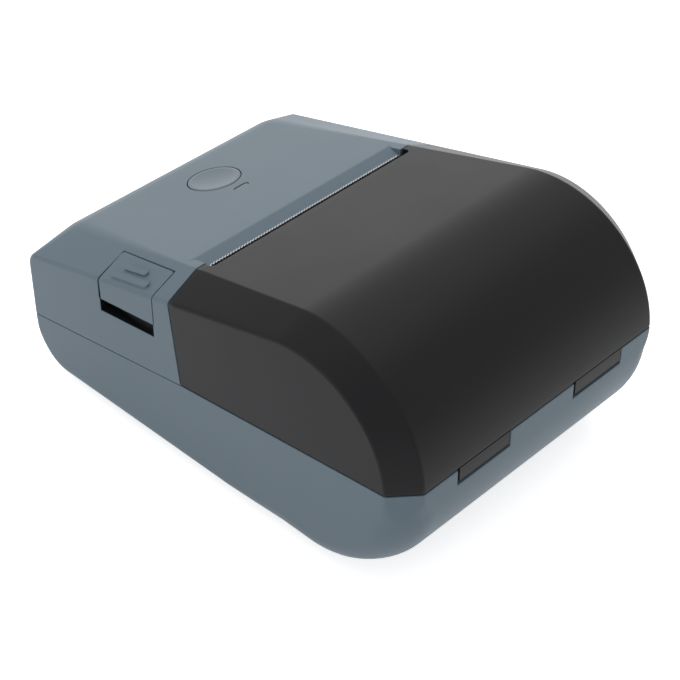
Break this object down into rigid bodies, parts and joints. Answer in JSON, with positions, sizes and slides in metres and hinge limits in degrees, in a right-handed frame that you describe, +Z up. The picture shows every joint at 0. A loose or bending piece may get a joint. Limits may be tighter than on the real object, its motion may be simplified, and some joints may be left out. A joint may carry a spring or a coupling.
{
  "type": "portable label printer",
  "caption": "Battery-powered handheld label printer: wedge-shaped grey casing with a hinged black roll lid, serrated tear bar, round power button, status light and side latch.",
  "frame": {"origin": "centre of the footprint, on the surface that the feet stand on", "axes": "+X towards the latch side, +Y towards the lid's hinge, +Z up"},
  "size_m": [0.0816, 0.1146, 0.0571],
  "materials": {
    "case_grey": "fine satin grain",
    "lid_black": "satin, soft highlights",
    "inner_black": "moulded, matt",
    "inner_grey": "moulded, matt",
    "pale_plastic": "translucent white",
    "rubber_black": "matt",
    "silicone_grey": "soft matt",
    "platen_rubber": "ground",
    "steel": "satin",
    "dark_steel": "blackened",
    "plated_steel": "zinc plated",
    "aluminium": "extruded",
    "ceramic": "glazed strip on a board",
    "brass": "turned",
    "acetal": "natural",
    "board_green": "solder mask with parts",
    "gold_contact": "gold flash"
  },
  "bodies": {
    "case": {"lower_case": "case_grey", "upper_case": "case_grey", "case_screws": "dark_steel", "rubber_feet": "rubber_black", "hinge_pins": "steel", "tear_bar": "steel", "mechanism_frame": "plated_steel", "frame_screws": "plated_steel", "paper_bar": "plated_steel", "label_sensor": "inner_black", "gear_stub": "steel", "stepper_motor": "plated_steel", "head_pivot_rod": "steel", "head_springs": "steel", "paper_tub": "inner_grey", "guide_pin": "steel", "main_board": "board_green", "board_screws": "plated_steel", "usb_socket": "steel", "key_board": "board_green", "key_screws": "plated_steel", "power_switch": "inner_black", "status_led": "pale_plastic", "light_pipe": "pale_plastic", "button_pad": "silicone_grey", "battery_pack": "inner_grey", "battery_contacts": "gold_contact", "catch_spring": "steel", "latch_pin": "steel", "latch_spring": "steel"},
    "lid": {"lid": "lid_black", "lid_liner": "inner_black", "lid_screws": "dark_steel", "platen_bushes": "acetal"},
    "platen": {"platen_roller": "platen_rubber", "platen_shaft": "steel", "platen_gear": "acetal", "platen_clip": "steel"},
    "idler": {"reduction_gear": "acetal"},
    "rotor": {"motor_pinion": "brass", "motor_shaft": "steel"},
    "head": {"thermal_head": "ceramic", "head_heat_sink": "aluminium"},
    "latch": {"latch_lever": "case_grey", "latch_hook": "plated_steel"},
    "button": {"power_button": "case_grey"},
    "catch": {"battery_catch": "inner_grey"},
    "left_guide": {"guide_left": "inner_black"},
    "right_guide": {"guide_right": "inner_black"},
    "guide_gear": {"guide_pinion": "acetal"}
  },
  "joints": [
    {"name": "lid_hinge", "type": "hinge", "parent": "case", "child": "lid", "pos_m": [0, 0.05635, 0.02886], "axis": [-1, 0, 0], "range_deg": [0, 95]},
    {"name": "latch_pivot", "type": "hinge", "parent": "case", "child": "latch", "pos_m": [0.03348, -0.0329, 0.04009], "axis": [-0.0514, -0.9703, -0.2366], "range_deg": [0, 12], "stiffness_Nm_per_rad": 0.02, "springref_deg": -17.19},
    {"name": "head_pivot", "type": "hinge", "parent": "case", "child": "head", "pos_m": [0, -0.0083, 0.031], "axis": [1, 0, 0], "range_deg": [0, 3], "stiffness_Nm_per_rad": 0.4, "springref_deg": -11.46, "deforming": ["head_springs"]},
    {"name": "platen_spin", "type": "hinge", "parent": "lid", "child": "platen", "pos_m": [0, -0.0008, 0.0395], "axis": [1, 0, 0], "continuous": true},
    {"name": "idler_spin", "type": "hinge", "parent": "case", "child": "idler", "pos_m": [0, -0.005, 0.0273], "axis": [1, 0, 0], "continuous": true},
    {"name": "motor_spin", "type": "hinge", "parent": "case", "child": "rotor", "pos_m": [0, -0.01678, 0.02501], "axis": [1, 0, 0], "continuous": true},
    {"name": "button_press", "type": "slide", "parent": "case", "child": "button", "axis": [0, 0.2436, -0.9699], "range_m": [0, 0.0008], "stiffness_N_per_m": 800, "springref_m": -0.0004, "deforming": ["button_pad"]},
    {"name": "catch_slide", "type": "slide", "parent": "case", "child": "catch", "axis": [0, -1, 0], "range_m": [0, 0.0016], "stiffness_N_per_m": 600, "springref_m": -0.0008, "deforming": ["catch_spring"]},
    {"name": "right_guide_slide", "type": "slide", "parent": "case", "child": "right_guide", "axis": [-1, 0, 0], "range_m": [0, 0.019]},
    {"name": "left_guide_slide", "type": "slide", "parent": "case", "child": "left_guide", "axis": [1, 0, 0], "range_m": [0, 0.0191]},
    {"name": "guide_gear_spin", "type": "hinge", "parent": "case", "child": "guide_gear", "pos_m": [0, 0.009, 0.0032], "axis": [0, 0, 1], "range_deg": [0, 303]}
  ],
  "couplings": [
    {"joint": "idler_spin", "follows": "platen_spin", "ratio": -0.43333},
    {"joint": "motor_spin", "follows": "platen_spin", "ratio": 1.3},
    {"joint": "left_guide_slide", "follows": "right_guide_slide", "ratio": 1},
    {"joint": "guide_gear_spin", "follows": "right_guide_slide", "rad_per_m": 277.78}
  ]
}
